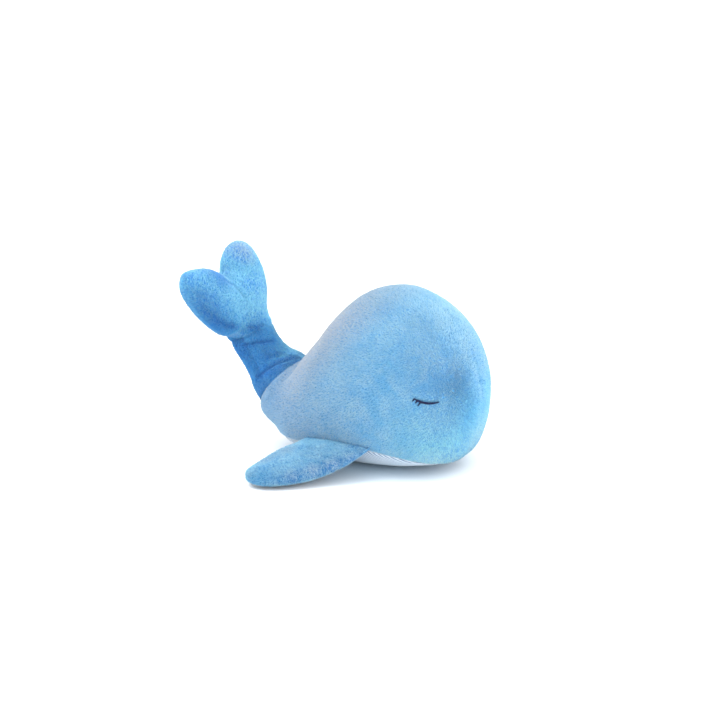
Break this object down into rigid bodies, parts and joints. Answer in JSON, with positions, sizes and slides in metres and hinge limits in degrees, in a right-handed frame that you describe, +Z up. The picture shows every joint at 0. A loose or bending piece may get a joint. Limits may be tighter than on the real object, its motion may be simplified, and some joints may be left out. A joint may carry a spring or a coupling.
{
  "type": "stuffed toy whale",
  "caption": "Stuffed toy whale with a domed head, white ribbed belly, raised bending tail with a two-lobed fluke, swept-back flippers and closed embroidered eyes.",
  "frame": {"origin": "the floor point under the middle of the belly, on the flat that the whale rests on", "axes": "+X the way the whale faces, +Y its left side, +Z up"},
  "size_m": [0.3003, 0.2866, 0.1977],
  "materials": {
    "blue_plush": "short brushed pile, sky blue",
    "deep_blue_plush": "short brushed pile, sky blue, in the folds of the tail",
    "white_ribbed_cloth": "fine diagonal ribs, white",
    "eye_thread": "satin stitch, navy",
    "filling": "loose fibre filling, white, hidden"
  },
  "bodies": {
    "body": {"body_panel_right": "blue_plush", "body_panel_left": "blue_plush", "belly_panel": "white_ribbed_cloth", "body_filling": "filling", "eye_right": "eye_thread", "eye_left": "eye_thread"},
    "tail": {"tail_panel_top": "deep_blue_plush", "tail_panel_bottom": "deep_blue_plush", "tail_filling": "filling"},
    "fluke": {"fluke_panel_front": "blue_plush", "fluke_panel_back": "blue_plush", "fluke_filling": "filling"},
    "flipper_right": {"flipper_right_top": "blue_plush", "flipper_right_bottom": "blue_plush", "flipper_right_filling": "filling"},
    "flipper_left": {"flipper_left_top": "blue_plush", "flipper_left_bottom": "blue_plush", "flipper_left_filling": "filling"}
  },
  "joints": [
    {"name": "tail_bend", "type": "hinge", "parent": "body", "child": "tail", "pos_m": [-0.083, 0, 0.054], "axis": [0, 1, 0], "range_deg": [-20, 10], "stiffness_Nm_per_rad": 0.6},
    {"name": "fluke_bend", "type": "hinge", "parent": "tail", "child": "fluke", "pos_m": [-0.13706, 0, 0.11299], "axis": [0, 1, 0], "range_deg": [-20, 20], "stiffness_Nm_per_rad": 0.3},
    {"name": "flipper_right_swing", "type": "hinge", "parent": "body", "child": "flipper_right", "pos_m": [-0.013, -0.0685, 0.029], "axis": [-0.9799, 0.1994, 0], "range_deg": [-5, 35], "stiffness_Nm_per_rad": 0.1},
    {"name": "flipper_left_swing", "type": "hinge", "parent": "body", "child": "flipper_left", "pos_m": [-0.013, 0.0685, 0.029], "axis": [0.9799, 0.1994, 0], "range_deg": [-5, 35], "stiffness_Nm_per_rad": 0.1}
  ]
}
